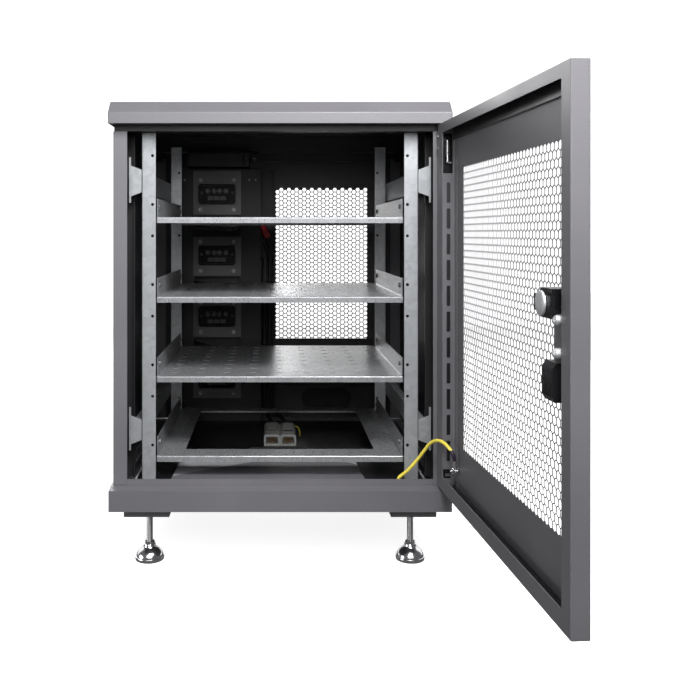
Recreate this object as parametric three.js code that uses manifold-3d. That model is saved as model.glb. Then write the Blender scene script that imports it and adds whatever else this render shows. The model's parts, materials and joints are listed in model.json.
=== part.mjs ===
// Floor-standing battery cabinet with four rack shelves, a perforated swing door,
// blind-mate battery sockets on a rear column and four levelling feet.
// Cabinet axes while modelling: X to the right, Y from the front plane into the cabinet, Z up
// from the floor, X = 0 on the centreline. The finished group is moved so that its origin is
// the centre of the front left foot's sole.
import * as THREE from 'three';
import { mergeVertices } from 'three/addons/utils/BufferGeometryUtils.js';
import Module from 'manifold-3d';

const wasm = await Module();
wasm.setup();

// ---- driving dimensions, millimetres ----
const GAP = 0.3;                 // left between touching pieces
const SHEET = 1.5;               // body sheet thickness
const PLATE = 2;                 // cap, base and rail thickness
const BODY_HALF = 300;           // outer side face of the body
const TRIM_HALF = 304;           // outer side face of the base
const CAP_HALF = 305.4;          // outer side face of the cap
const LIP_Y = -25;               // front face of cap and base
const BACK_Y = 575;              // rear face of cap and base
const REAR_PANEL_Y = 566;
const BASE_BOTTOM = 109.7;
const BASE_TOP = 150.2;
const CAP_BOTTOM = 798;
const CAP_TOP = 839;
const CAP_CHAMFER = 21.6;
const STRIP_INNER = 275;         // inner edge of the side panels' front strips
const FLOOR_TOP = 153.5;
const SILL_TOP = 161;            // upright front edge of the floor pan
const CONNECTOR_SEAT = 163.3;    // raised plate under the power connectors
const BEAM_BOTTOM = 786.5;
const FRAME_TOP = CAP_TOP - 2.5;

const RAIL_INNER = 226.8;
const RAIL_OUTER = 252.2;
const RAIL_LEG = 40;
const FRONT_RAIL_Y = 24;
const REAR_RAIL_Y = 478;
const REAR_RAIL_TOP = 805;      // the front pair stops just under the top beam
const RAIL_HOLE_X = 232.6;
const RAIL_HOLE_R = 2.8;
const BAY_PITCH = 146.4;
const RAIL_HOLE_FIRST = 216.4;
const RAIL_HOLE_STEP = 89;       // two rack units between the holes of one bay

const SHELF_FIRST = 193.6;       // top surface of the lowest shelf
const SHELF_HALF = 226.4;
const SHELF_FRONT = 36;
const SHELF_BACK = 476;
const SHELF_LIP = 11;
const SHELF_FLANGE = 34;
const CUTOUT_HALF = 178.5;
const CUTOUT_FRONT = 87;
const CUTOUT_BACK = 440;
const BAYS = 4;

const COLUMN_FRONT = 520;
const COLUMN_LEFT = -230;
const COLUMN_RIGHT = -41;
const COLUMN_TOP = 756;
const SOCKET_X = -146;
const SOCKET_WIDE = 114;
const SOCKET_TALL = 94;
const SOCKET_FIRST = 208.5;      // lower edge of the lowest socket plate
const HOUSING_WIDE = 87;
const HOUSING_TALL = 47;

const HINGE = { x: 290, y: -13 };
const DOOR_OPEN = 93.3;          // degrees, the pose the model is stored in
const DOOR_HALF = 297;
const DOOR_OUT = -28;
const DOOR_IN = -5;
const DOOR_BOTTOM = 150.4;
const DOOR_TOP = 797.5;
const DOOR_SIDE_LIP = 33;        // along the hinges
const DOOR_FREE_LIP = 26.5;
const DOOR_TOP_LIP = 18;
const DOOR_BOTTOM_LIP = 24.5;
const DOOR_SHEET = 1.6;
const SLOT_FRONT = -19;
const SLOT_COUNT = 11;
const SLOT_PITCH = 45.2;
const SLOT_FIRST = 222;
const SLOT_TALL = 35.7;
const SLOT_DEEP = 6.6;
const PIN_R = 2.9;
const PIN_HOLE_R = 3.6;
const LEVER = { x: 267, y: -15 };

const LOCK_X = -243;
const SPINDLE_Z = 521.5;
const CYLINDER_Z = 427;
const BOLT_TRAVEL = 14;

const FOOT_X = 241;
const FOOT_FRONT_Y = 48;
const FOOT_REAR_Y = 502;
const STUD_R = 5.9;
const PAD_TOP = 34;
const BRACKET_BOTTOM = 91;

const CABLE_R = 4.5;
const WIRE_R = 3;

const finish = (color, roughness, metalness) =>
  new THREE.MeshStandardMaterial({ color, roughness, metalness });
const materials = {
  paint: finish(0x76757a, 0.55, 0.1),
  darkPaint: finish(0x2c2c30, 0.6, 0.1),
  zinc: finish(0xc6cacb, 0.38, 0.85),
  chrome: finish(0xd8dadc, 0.12, 1),
  black: finish(0x18181b, 0.5, 0),
  grey: finish(0xa7a9aa, 0.5, 0),
  red: finish(0xb41e32, 0.45, 0),
  yellow: finish(0xf0dc5a, 0.45, 0),
};

// ---- solids ----
// Coordinates are snapped to a micrometre, so that faces meant to be level are exactly level.
function solid(geometry) {
  const bare = geometry.index ? geometry.toNonIndexed() : geometry.clone();
  bare.deleteAttribute('normal');
  bare.deleteAttribute('uv');
  const position = bare.attributes.position;
  for (let i = 0; i < position.array.length; i += 1) {
    position.array[i] = Math.round(position.array[i] * 1000) / 1000;
  }
  const merged = mergeVertices(bare, 1e-4);
  return new wasm.Manifold(new wasm.Mesh({
    numProp: 3,
    vertProperties: new Float32Array(merged.attributes.position.array),
    triVerts: new Uint32Array(merged.index.array),
  }));
}

function box(x0, x1, y0, y1, z0, z1) {
  const geometry = new THREE.BoxGeometry(x1 - x0, y1 - y0, z1 - z0);
  geometry.translate((x0 + x1) / 2, (y0 + y1) / 2, (z0 + z1) / 2);
  return solid(geometry);
}

// The same box on the left (side = -1) or right (side = 1) of the centreline.
function sideBox(side, inner, outer, y0, y1, z0, z1) {
  return side > 0 ? box(inner, outer, y0, y1, z0, z1) : box(-outer, -inner, y0, y1, z0, z1);
}

function outline(points) {
  return new THREE.Shape(points.map(([a, b]) => new THREE.Vector2(a, b)));
}

function extrude(shape, depth, curveSegments = 6) {
  return new THREE.ExtrudeGeometry(shape, { depth, bevelEnabled: false, curveSegments });
}

// An outline in (Y, Z) swept along X.
function alongX(points, x0, x1) {
  const geometry = extrude(outline(points), x1 - x0);
  geometry.rotateX(Math.PI / 2);
  geometry.rotateZ(Math.PI / 2);
  geometry.translate(x0, 0, 0);
  return solid(geometry);
}

// An outline in (X, Z) swept along Y.
function alongY(shape, y0, y1, curveSegments = 6) {
  const geometry = extrude(shape, y1 - y0, curveSegments);
  geometry.rotateX(Math.PI / 2);
  geometry.translate(0, y1, 0);
  return solid(geometry);
}

// An outline in (X, Y) swept along Z.
function alongZ(points, z0, z1) {
  const geometry = extrude(outline(points), z1 - z0);
  geometry.translate(0, 0, z0);
  return solid(geometry);
}

function rodZ(x, y, radius, z0, z1, sides = 16) {
  const geometry = new THREE.CylinderGeometry(radius, radius, z1 - z0, sides);
  geometry.rotateX(Math.PI / 2);
  geometry.translate(x, y, (z0 + z1) / 2);
  return solid(geometry);
}

function rodY(x, z, radius, y0, y1, sides = 16) {
  const geometry = new THREE.CylinderGeometry(radius, radius, y1 - y0, sides);
  geometry.translate(x, (y0 + y1) / 2, z);
  return solid(geometry);
}

function join(...parts) {
  return parts.reduce((whole, part) => whole.add(part));
}

function cut(whole, ...parts) {
  return parts.reduce((left, part) => left.subtract(part), whole);
}

function asGeometry(manifold) {
  const { vertProperties, triVerts } = manifold.getMesh();
  const geometry = new THREE.BufferGeometry();
  geometry.setAttribute('position', new THREE.BufferAttribute(new Float32Array(vertProperties), 3));
  geometry.setIndex(new THREE.BufferAttribute(new Uint32Array(triVerts), 1));
  geometry.computeVertexNormals();
  return geometry;
}

const cabinet = new THREE.Group();
cabinet.position.set(FOOT_X, -FOOT_FRONT_Y, 0);

function place(name, shape, material, parent = cabinet) {
  const geometry = shape instanceof wasm.Manifold ? asGeometry(shape) : shape;
  const mesh = new THREE.Mesh(geometry, materials[material]);
  mesh.name = name;
  parent.add(mesh);
  return mesh;
}

const SIDES = [['left', -1], ['right', 1]];

// ---- cap and upper beams ----
function makeCap() {
  const slope = CAP_CHAMFER;
  const skin = (grow) => {
    const front = LIP_Y + grow;
    const top = CAP_TOP - grow;
    const bottom = grow ? CAP_BOTTOM - PLATE : CAP_BOTTOM;
    const back = BACK_Y - grow;
    const turn = grow * 0.4;
    return [[front, bottom], [front, CAP_TOP - slope - turn], [LIP_Y + slope + turn, top],
      [back, top], [back, bottom]];
  };
  const shell = cut(alongX(skin(0), -CAP_HALF, CAP_HALF),
    alongX(skin(PLATE), -CAP_HALF + PLATE, CAP_HALF - PLATE));
  const fold = box(-CAP_HALF + 0.5, CAP_HALF - 0.5, LIP_Y + 0.5, -GAP, CAP_BOTTOM, CAP_BOTTOM + PLATE);
  const pinHole = rodZ(HINGE.x, HINGE.y, PIN_HOLE_R, CAP_BOTTOM - 5, CAP_BOTTOM + 5, 12);
  place('top_cap', cut(join(shell, fold), pinHole), 'paint');
}

function makeUpperBeams() {
  const half = BODY_HALF - SHEET - GAP;
  const back = FRONT_RAIL_Y - GAP;
  const front = join(
    box(-half, half, GAP, GAP + PLATE, BEAM_BOTTOM, FRAME_TOP),
    box(-half, half, GAP, back, BEAM_BOTTOM, BEAM_BOTTOM + PLATE),
    box(-half, half, back - PLATE, back, BEAM_BOTTOM, CAP_BOTTOM));
  place('front_top_beam', front, 'darkPaint');
  const rear = join(
    box(-half, half, 545, 563, 801, 803),
    box(-half, half, 545, 547, 801, FRAME_TOP),
    box(-half, half, 561, 563, 801, FRAME_TOP));
  place('rear_top_beam', rear, 'darkPaint');
}

// ---- base frame, with the foot brackets welded under its front and rear beams ----
function footBracket(x, y) {
  const deepY = 42.5;
  const wideX = 41;
  const top = BASE_BOTTOM + 1;
  const tray = cut(
    box(x - wideX, x + wideX, y - deepY, y + deepY, BRACKET_BOTTOM, top),
    box(x - wideX + PLATE, x + wideX - PLATE, y - deepY + PLATE, y + deepY - PLATE,
      BRACKET_BOTTOM + PLATE, top + 5));
  const nut = rodZ(x, y, 10.5, BRACKET_BOTTOM - 8, BRACKET_BOTTOM + 1, 6);
  return { tray: join(tray, nut), hole: rodZ(x, y, STUD_R + 0.7, 70, 148, 16) };
}

function beamWithBrackets(beam, y) {
  const left = footBracket(-FOOT_X, y);
  const right = footBracket(FOOT_X, y);
  return cut(join(beam, left.tray, right.tray), left.hole, right.hole);
}

function makeBase() {
  const reach = 40;
  const frontOuter = [[LIP_Y, BASE_BOTTOM], [reach, BASE_BOTTOM], [reach, BASE_TOP],
    [0, BASE_TOP], [LIP_Y, BASE_TOP - 3.4]];
  const frontInner = [[LIP_Y + PLATE, BASE_BOTTOM + PLATE], [reach + 5, BASE_BOTTOM + PLATE],
    [reach + 5, BASE_TOP - PLATE], [0, BASE_TOP - PLATE], [LIP_Y + PLATE, BASE_TOP - 5.2]];
  const front = cut(alongX(frontOuter, -TRIM_HALF, TRIM_HALF),
    alongX(frontInner, -TRIM_HALF + PLATE, TRIM_HALF - PLATE),
    rodZ(HINGE.x, HINGE.y, PIN_HOLE_R, 140, 155, 12));
  place('base_front_beam', beamWithBrackets(front, FOOT_FRONT_Y), 'paint');

  const rear = cut(
    box(-TRIM_HALF, TRIM_HALF, BACK_Y - reach, BACK_Y, BASE_BOTTOM, BASE_TOP),
    box(-TRIM_HALF + PLATE, TRIM_HALF - PLATE, BACK_Y - reach - 5, BACK_Y - PLATE,
      BASE_BOTTOM + PLATE, BASE_TOP - PLATE));
  place('base_rear_beam', beamWithBrackets(rear, FOOT_REAR_Y), 'paint');

  for (const [word, side] of SIDES) {
    const y0 = reach + GAP;
    const y1 = BACK_Y - reach - GAP;
    const inner = TRIM_HALF - 19;
    const beam = cut(
      sideBox(side, inner, TRIM_HALF, y0, y1, BASE_BOTTOM, BASE_TOP),
      sideBox(side, inner - 5, TRIM_HALF - PLATE, y0 - 1, y1 + 1, BASE_BOTTOM + PLATE,
        BASE_TOP - PLATE));
    place(`base_${word}_beam`, beam, 'paint');
  }
}

function makeFloor() {
  const half = 266;
  const pan = join(
    box(-half, half, 0, 563, FLOOR_TOP - SHEET, FLOOR_TOP),
    box(-STRIP_INNER + GAP, STRIP_INNER - GAP, 0, SHEET, BASE_TOP + GAP, SILL_TOP),
    box(-half, half, 561.5, 563, BASE_TOP + GAP, FLOOR_TOP),
    box(-60, 58, 225, 300, FLOOR_TOP - 1, CONNECTOR_SEAT));
  const wireHole = rodZ(WIRE_ROUTE[1][0], WIRE_ROUTE[1][1], 6, 150, 170, 12);
  place('floor_pan', cut(pan, wireHole), 'darkPaint');
}

// ---- outer skins ----
function makeSidePanels() {
  for (const [word, side] of SIDES) {
    const low = BASE_TOP + 0.8;
    const back = 565;
    const wall = side * (BODY_HALF - SHEET);
    const channel = [[side * BODY_HALF, 0], [side * BODY_HALF, back], [side * STRIP_INNER, back],
      [side * STRIP_INNER, back - SHEET], [wall, back - SHEET], [wall, SHEET],
      [side * STRIP_INNER, SHEET], [side * STRIP_INNER, 0]];
    const upper = sideBox(side, BODY_HALF - SHEET, BODY_HALF, 10, back - 10, 780, FRAME_TOP);
    const panel = join(alongZ(channel, low, BEAM_BOTTOM - GAP), upper);
    place(`${word}_side_panel`, panel, 'paint');
  }
}

const ENTRY = { x: 118.5, z: 199, half: 60, tall: 26 };

// A shape with straight top and bottom and half-round ends, in (X, Z).
function stadium(x, z, half, radius) {
  const shape = new THREE.Shape();
  const run = half - radius;
  shape.absarc(x + run, z, radius, -Math.PI / 2, Math.PI / 2, false);
  shape.absarc(x - run, z, radius, Math.PI / 2, Math.PI * 1.5, false);
  return shape;
}

function makeRearPanel() {
  const half = 298;
  const low = BASE_TOP + 0.8;
  const panel = join(
    box(-half, half, REAR_PANEL_Y, REAR_PANEL_Y + SHEET, low, 799),
    box(-half, half, REAR_PANEL_Y, REAR_PANEL_Y + 6, low, low + SHEET),
    box(-half, half, REAR_PANEL_Y, REAR_PANEL_Y + 6, 797.5, 799));
  const hole = alongY(stadium(ENTRY.x, ENTRY.z, ENTRY.half - 4, ENTRY.tall - 4),
    REAR_PANEL_Y - 5, REAR_PANEL_Y + 5, 8);
  place('rear_panel', cut(panel, hole), 'darkPaint');
  const collar = alongY(stadium(ENTRY.x, ENTRY.z, ENTRY.half, ENTRY.tall),
    REAR_PANEL_Y - 6, REAR_PANEL_Y - GAP, 8);
  const neck = alongY(stadium(ENTRY.x, ENTRY.z, ENTRY.half - 4.5, ENTRY.tall - 4.5),
    REAR_PANEL_Y - 2, REAR_PANEL_Y + 4, 8);
  const pocket = alongY(stadium(ENTRY.x, ENTRY.z, ENTRY.half - 8, ENTRY.tall - 8),
    REAR_PANEL_Y - 9, REAR_PANEL_Y, 8);
  place('cable_entry_grommet', cut(join(collar, neck), pocket), 'black');
}

// ---- inner frame ----
function makePosts() {
  for (const [word, side] of SIDES) {
    const post = join(
      sideBox(side, 296, 298, 32, 60, BASE_TOP + GAP, FRAME_TOP),
      sideBox(side, 269, 298, 58, 60, BASE_TOP + GAP, FRAME_TOP),
      sideBox(side, 269, 271, 50, 60, BASE_TOP + GAP, FRAME_TOP));
    place(`front_${word}_post`, post, 'darkPaint');
  }
}

function makeRails() {
  for (const [word, side] of SIDES) {
    for (const [end, y, top] of [['front', FRONT_RAIL_Y, BEAM_BOTTOM - GAP],
      ['rear', REAR_RAIL_Y, REAR_RAIL_TOP]]) {
      const low = FLOOR_TOP + GAP;
      const angle = join(
        sideBox(side, RAIL_INNER, RAIL_OUTER, y, y + PLATE, low, top),
        sideBox(side, RAIL_OUTER - PLATE, RAIL_OUTER, y, y + RAIL_LEG, low, top));
      const holes = [];
      for (let bay = 0; bay < BAYS; bay += 1) {
        for (const up of [0, RAIL_HOLE_STEP]) {
          const z = RAIL_HOLE_FIRST + bay * BAY_PITCH + up;
          holes.push(rodY(side * RAIL_HOLE_X, z, RAIL_HOLE_R, y - 3, y + 5, 8));
        }
      }
      place(`${end}_${word}_rack_rail`, cut(angle, ...holes), 'zinc');
    }
  }
}

function makeSideBeams() {
  const webIn = RAIL_OUTER + 0.8;
  const webOut = 267;
  const tabY = 27;
  for (const [word, side] of SIDES) {
    for (const [level, z0, z1] of [['upper', 669, 728], ['lower', 216, 271]]) {
      const low = z0 + 9;
      const high = z1 - 9;
      const channel = cut(
        sideBox(side, webIn, webOut, tabY, REAR_RAIL_Y + RAIL_LEG, low, high),
        sideBox(side, webIn + PLATE, webOut + 5, tabY - 1, 600, low + PLATE, high - PLATE));
      const tab = alongY(outline([[side * webIn, low], [side * 276, z0], [side * 276, z1],
        [side * webIn, high]]), tabY, tabY + PLATE);
      const ear = sideBox(side, 272.5, 276, tabY, tabY + PLATE, z0 - 10, z1 + 14);
      place(`${level}_${word}_side_beam`, join(channel, tab, ear), 'zinc');
    }
  }
}

function makeShelves() {
  for (let bay = 0; bay < BAYS; bay += 1) {
    const top = SHELF_FIRST + bay * BAY_PITCH;
    const under = top - SHEET;
    const pieces = [
      box(-SHELF_HALF, SHELF_HALF, SHELF_FRONT, SHELF_BACK, under, top),
      box(-SHELF_HALF, SHELF_HALF, SHELF_FRONT, SHELF_FRONT + SHEET, top - SHELF_LIP, top),
      box(-SHELF_HALF, SHELF_HALF, SHELF_BACK - SHEET, SHELF_BACK, top - SHELF_LIP, top),
    ];
    for (const [, side] of SIDES) {
      pieces.push(sideBox(side, SHELF_HALF - SHEET, SHELF_HALF, 42, 438, under, top + SHELF_FLANGE));
    }
    let tray = join(...pieces);
    if (bay === 0) {
      tray = cut(tray, box(-CUTOUT_HALF, CUTOUT_HALF, CUTOUT_FRONT, CUTOUT_BACK, under - 5, top + 5));
    }
    place(`shelf_${bay + 1}`, tray, 'zinc');
  }
}

// ---- battery sockets and their wiring column ----
function makeColumn() {
  const low = FLOOR_TOP + GAP;
  const stripRight = -9;
  const stripY = 554.5;
  const body = join(
    box(COLUMN_LEFT, COLUMN_RIGHT, COLUMN_FRONT, COLUMN_FRONT + SHEET, low, COLUMN_TOP),
    box(COLUMN_LEFT, COLUMN_LEFT + SHEET, COLUMN_FRONT, 556, low, COLUMN_TOP),
    box(COLUMN_RIGHT - SHEET, COLUMN_RIGHT, COLUMN_FRONT, 556, low, COLUMN_TOP),
    box(COLUMN_RIGHT - SHEET, stripRight, stripY, 556, low, COLUMN_TOP),
    box(stripRight - SHEET, stripRight, stripY - 8, 556, low, COLUMN_TOP));
  const windows = [];
  for (let bay = 0; bay < BAYS; bay += 1) {
    const plateTop = SOCKET_FIRST + bay * BAY_PITCH + SOCKET_TALL;
    if (bay < BAYS - 1) {
      windows.push(box(SOCKET_X - 55, SOCKET_X + 55, COLUMN_FRONT - 5, COLUMN_FRONT + 5,
        plateTop + 2, plateTop + BAY_PITCH - SOCKET_TALL - 2));
    }
    windows.push(box(COLUMN_RIGHT - 5, COLUMN_RIGHT + 5, COLUMN_FRONT + 8, stripY - 5,
      plateTop - 5, plateTop + 45));
  }
  place('connector_column', cut(body, ...windows), 'darkPaint');
}

function makeSockets() {
  const back = COLUMN_FRONT - GAP;
  const plateFront = back - PLATE;
  const half = HOUSING_WIDE / 2;
  for (let bay = 0; bay < BAYS; bay += 1) {
    const z0 = SOCKET_FIRST + bay * BAY_PITCH;
    const ledge = bay === BAYS - 1 ? 11 : 0;
    const plate = box(SOCKET_X - SOCKET_WIDE / 2, SOCKET_X + SOCKET_WIDE / 2, plateFront, back,
      z0, z0 + SOCKET_TALL + ledge);
    place(`socket_plate_${bay + 1}`, plate, 'darkPaint');
    const mid = z0 + SOCKET_TALL / 2 + 2;
    const tall = HOUSING_TALL / 2;
    const rim = outline([[SOCKET_X - half, mid - tall + 4], [SOCKET_X - half + 4, mid - tall],
      [SOCKET_X + half - 4, mid - tall], [SOCKET_X + half, mid - tall + 4],
      [SOCKET_X + half, mid + tall - 4], [SOCKET_X + half - 4, mid + tall],
      [SOCKET_X - half + 4, mid + tall], [SOCKET_X - half, mid + tall - 4]]);
    const front = plateFront - 14;
    const body = alongY(rim, front, plateFront - GAP);
    const pocket = box(SOCKET_X - half + 4, SOCKET_X + half - 4, front - 2, front + 7,
      mid - tall + 4, mid + tall - 4);
    place(`socket_housing_${bay + 1}`, cut(body, pocket), 'black');
  }
}

function makeTerminalCover() {
  const low = 761;
  const high = 798;
  const cover = cut(
    box(-214, -69, 500, 544, low, high),
    box(-214 + PLATE, -69 - PLATE, 500 + PLATE, 549, low + PLATE, high - PLATE));
  const ear = box(-71, -46, 541, 543, low, high);
  place('terminal_cover', join(cover, ear), 'black');
}

// ---- cables, each a tube along a hand-laid route ----
function tube(route, radius, sides, steps) {
  const curve = new THREE.CatmullRomCurve3(route.map((p) => new THREE.Vector3(...p)), false,
    'centripetal');
  const section = new THREE.Shape();
  for (let i = 0; i < sides; i += 1) {
    const turn = (i / sides) * Math.PI * 2;
    const x = radius * Math.cos(turn);
    const y = radius * Math.sin(turn);
    if (i === 0) section.moveTo(x, y);
    else section.lineTo(x, y);
  }
  return new THREE.ExtrudeGeometry(section, { steps, bevelEnabled: false, extrudePath: curve });
}

const POSITIVE_ROUTE = [
  [-100, 540, 652], [-72, 540, 648], [-50, 541, 636], [-36, 543, 615], [-25, 544, 592],
  [-20, 545, 560], [-20, 545, 500], [-20, 545, 420], [-20, 545, 340], [-20, 545, 270],
  [-19, 543, 230], [-14, 532, 197], [-5, 508, 178], [5, 470, 174.5], [14, 420, 175.3],
  [18.7, 385, 175.5], [18.7, 346, 175.5],
];
const NEGATIVE_ROUTE = [
  [-100, 540, 505], [-78, 540, 502], [-58, 541, 492], [-43, 543, 474], [-35, 544, 450],
  [-33, 545, 420], [-33, 545, 340], [-33, 545, 270], [-33, 543, 230], [-32, 532, 197],
  [-28, 508, 178], [-23, 470, 174.5], [-17, 420, 175.3], [-14.7, 385, 175.5], [-14.7, 346, 175.5],
];
const WIRE_ROUTE = [
  [214, 15.5, 153.5], [216, 14.5, 160], [221.5, 12.5, 165.5], [229, 9, 173], [238, 4, 184],
  [247, -3, 198], [255.5, -11.5, 213], [264, -22, 229], [270.5, -31, 236.6], [276.5, -41, 240],
  [282.5, -51, 239.5], [288, -60, 235.5], [293, -66, 229], [297, -69, 221], [299.3, -69.5, 212.5],
];

// ---- twin power connector on the floor ----
function makePowerConnectors() {
  const low = CONNECTOR_SEAT + GAP;
  const high = 187;
  const wide = 33;
  for (const [word, x0] of [['left', 2 - GAP / 2 - wide], ['right', 2 + GAP / 2]]) {
    const x1 = x0 + wide;
    const shape = outline([[x0, low], [x1, low], [x1, high - 4], [x1 - 4, high], [x0 + 4, high],
      [x0, high - 4]]);
    const housing = cut(alongY(shape, 235, 345),
      box(x0 + 4, x1 - 4, 230, 262, low + 4, high - 5));
    place(`power_connector_${word}`, housing, 'grey');
  }
}

// ---- door, built closed around its hinge axis and then swung open ----
const door = new THREE.Group();
door.position.set(HINGE.x, HINGE.y, 0);
door.rotation.z = THREE.MathUtils.degToRad(DOOR_OPEN);
cabinet.add(door);

function placeOnDoor(name, manifold, material) {
  const geometry = asGeometry(manifold);
  geometry.translate(-HINGE.x, -HINGE.y, 0);
  place(name, geometry, material, door);
}

function makeDoorPanel() {
  const t = DOOR_SHEET;
  const pan = cut(
    box(-DOOR_HALF, DOOR_HALF, DOOR_OUT, DOOR_IN, DOOR_BOTTOM, DOOR_TOP),
    box(-DOOR_HALF + t, DOOR_HALF - t, DOOR_OUT + t, DOOR_IN - t, DOOR_BOTTOM + t, DOOR_TOP - t),
    box(-DOOR_HALF + DOOR_FREE_LIP, DOOR_HALF - DOOR_SIDE_LIP, DOOR_IN - t - 1, DOOR_IN + 1,
      DOOR_BOTTOM + DOOR_BOTTOM_LIP, DOOR_TOP - DOOR_TOP_LIP),
    rodZ(HINGE.x, HINGE.y, PIN_HOLE_R, DOOR_BOTTOM - 5, DOOR_BOTTOM + 5, 12),
    rodZ(HINGE.x, HINGE.y, PIN_HOLE_R, DOOR_TOP - 5, DOOR_TOP + 5, 12),
    rodY(LOCK_X, SPINDLE_Z, 6, DOOR_OUT - 5, DOOR_OUT + 5, 16),
    rodY(LOCK_X, CYLINDER_Z, 9, DOOR_OUT - 5, DOOR_OUT + 5, 16));
  const groundStud = rodY(DOOR_HALF - 62, 194, 3, DOOR_OUT + 0.5, DOOR_OUT + t + 15, 10);
  placeOnDoor('door_panel', join(pan, groundStud), 'paint');
}

function makeHingeStile() {
  const x1 = DOOR_HALF - DOOR_SIDE_LIP - GAP;
  const x0 = x1 - DOOR_SHEET;
  const back = DOOR_OUT + DOOR_SHEET + GAP;
  const low = DOOR_BOTTOM + DOOR_SHEET + GAP;
  const high = DOOR_TOP - DOOR_SHEET - GAP;
  const strip = join(
    box(x0, x1, back, DOOR_IN - DOOR_SHEET - GAP, low, high),
    box(x0, x1, back, DOOR_IN, DOOR_BOTTOM + DOOR_BOTTOM_LIP + GAP, DOOR_TOP - DOOR_TOP_LIP - GAP),
    box(x0 - 15, x1, back, back + DOOR_SHEET, low, high));
  const openings = [
    box(x0 - 2, x1 + 2, back + DOOR_SHEET + 1, DOOR_IN + 1, 708, 778),
    box(x0 - 2, x1 + 2, back + DOOR_SHEET + 1, DOOR_IN - 3, 174, 190),
  ];
  for (let i = 0; i < SLOT_COUNT; i += 1) {
    const z = SLOT_FIRST + i * SLOT_PITCH;
    openings.push(box(x0 - 2, x1 + 2, SLOT_FRONT, SLOT_FRONT + SLOT_DEEP, z - SLOT_TALL / 2, z + SLOT_TALL / 2));
  }
  placeOnDoor('door_hinge_stile', cut(strip, ...openings), 'paint');
}

// A cranked pin: the pivot on the hinge axis and a pull lever that hangs in the stile's opening.
function makeHingePins() {
  const crank = (z0, z1) => box(LEVER.x - 2.5, HINGE.x, LEVER.y - 0.5, LEVER.y + 4.5, z0, z1);
  const top = join(
    rodZ(HINGE.x, HINGE.y, PIN_R, 766, 804, 12),
    crank(766, 771),
    rodZ(LEVER.x, LEVER.y, 2.5, 727, 770, 12),
    box(LEVER.x - 2.5, LEVER.x + 2.5, LEVER.y - 6, LEVER.y, 724, 729));
  placeOnDoor('hinge_pin_top', top, 'chrome');
  const bottom = join(
    rodZ(HINGE.x, HINGE.y, PIN_R, 144, 182, 12),
    crank(177, 182),
    box(LEVER.x - 2.5, LEVER.x + 2.5, LEVER.y - 5, LEVER.y, 177, 182));
  placeOnDoor('hinge_pin_bottom', bottom, 'chrome');
}

function makeLock() {
  const inner = DOOR_OUT + DOOR_SHEET + GAP;
  const boltBack = 3;
  const boltFront = 7;
  const shaftHole = rodY(LOCK_X, SPINDLE_Z, 5.6, -60, 60, 16);
  const guide = cut(box(-262, -226, inner, boltBack - GAP, 504, 539), shaftHole);
  placeOnDoor('lock_guide', guide, 'black');

  const slot = box(LOCK_X - 5.6, LOCK_X + BOLT_TRAVEL + 5.6, 0, 10, SPINDLE_Z - 5.6, SPINDLE_Z + 5.6);
  const bolt = cut(box(-272, -216, boltBack, boltFront, SPINDLE_Z - 10, SPINDLE_Z + 10), slot);
  placeOnDoor('lock_bolt', bolt, 'black');

  const spindle = join(
    rodY(LOCK_X, SPINDLE_Z, 15, boltFront + GAP, 11, 24),
    rodY(LOCK_X, SPINDLE_Z, 5, DOOR_OUT - 8, 10, 16),
    rodY(LOCK_X, SPINDLE_Z, 10, DOOR_OUT - 10, DOOR_OUT - 6 - GAP, 20));
  placeOnDoor('lock_spindle', spindle, 'chrome');

  const profile = [[inner, 408], [inner, 453.6], [-3, 453.6], [2.5, 447], [2.5, 414], [-1, 408]];
  const caseBody = cut(alongX(profile, -262, -230), rodY(LOCK_X, CYLINDER_Z, 9, -30, -6, 16));
  placeOnDoor('lock_case', caseBody, 'black');

  const plate = cut(
    alongY(outline([[-257, 398], [-229, 398], [-225, 402], [-225, 556], [-229, 560], [-257, 560],
      [-261, 556], [-261, 402]]), DOOR_OUT - 6, DOOR_OUT - GAP),
    shaftHole, rodY(LOCK_X, CYLINDER_Z, 9, -60, 0, 16));
  placeOnDoor('handle_plate', plate, 'black');

  const grip = alongY(outline([[-251, 448], [-235, 448], [-231, 456], [-231, 534], [-235, 538],
    [-251, 538], [-255, 534], [-255, 456]]), DOOR_OUT - 18, DOOR_OUT - 10 - GAP);
  placeOnDoor('swing_handle', grip, 'black');

  const barrel = join(
    rodY(LOCK_X, CYLINDER_Z, 8.5, DOOR_OUT - 8, -8, 16),
    rodY(LOCK_X, CYLINDER_Z, 10.5, DOOR_OUT - 8, DOOR_OUT - 6 - GAP, 20));
  placeOnDoor('lock_cylinder', barrel, 'chrome');
}

// ---- levelling feet ----
function makeFeet() {
  const cup = [[0, 0], [25.5, 0], [26.5, 1.5], [26.5, 6], [25, 10], [22, 16], [16, 21.5], [11, 25],
    [11, 29], [9.2, 29.5], [9.2, PAD_TOP], [0, PAD_TOP]];
  for (const [end, y] of [['front', FOOT_FRONT_Y], ['rear', FOOT_REAR_Y]]) {
    for (const [word, side] of SIDES) {
      const pad = new THREE.LatheGeometry(cup.map(([r, z]) => new THREE.Vector2(r, z)), 24);
      pad.rotateX(Math.PI / 2);
      pad.translate(side * FOOT_X, y, 0);
      place(`${end}_${word}_foot_pad`, solid(pad), 'chrome');
      const stud = rodZ(side * FOOT_X, y, STUD_R, PAD_TOP + GAP, 128, 16);
      place(`${end}_${word}_foot_stud`, stud, 'zinc');
    }
  }
}

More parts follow.
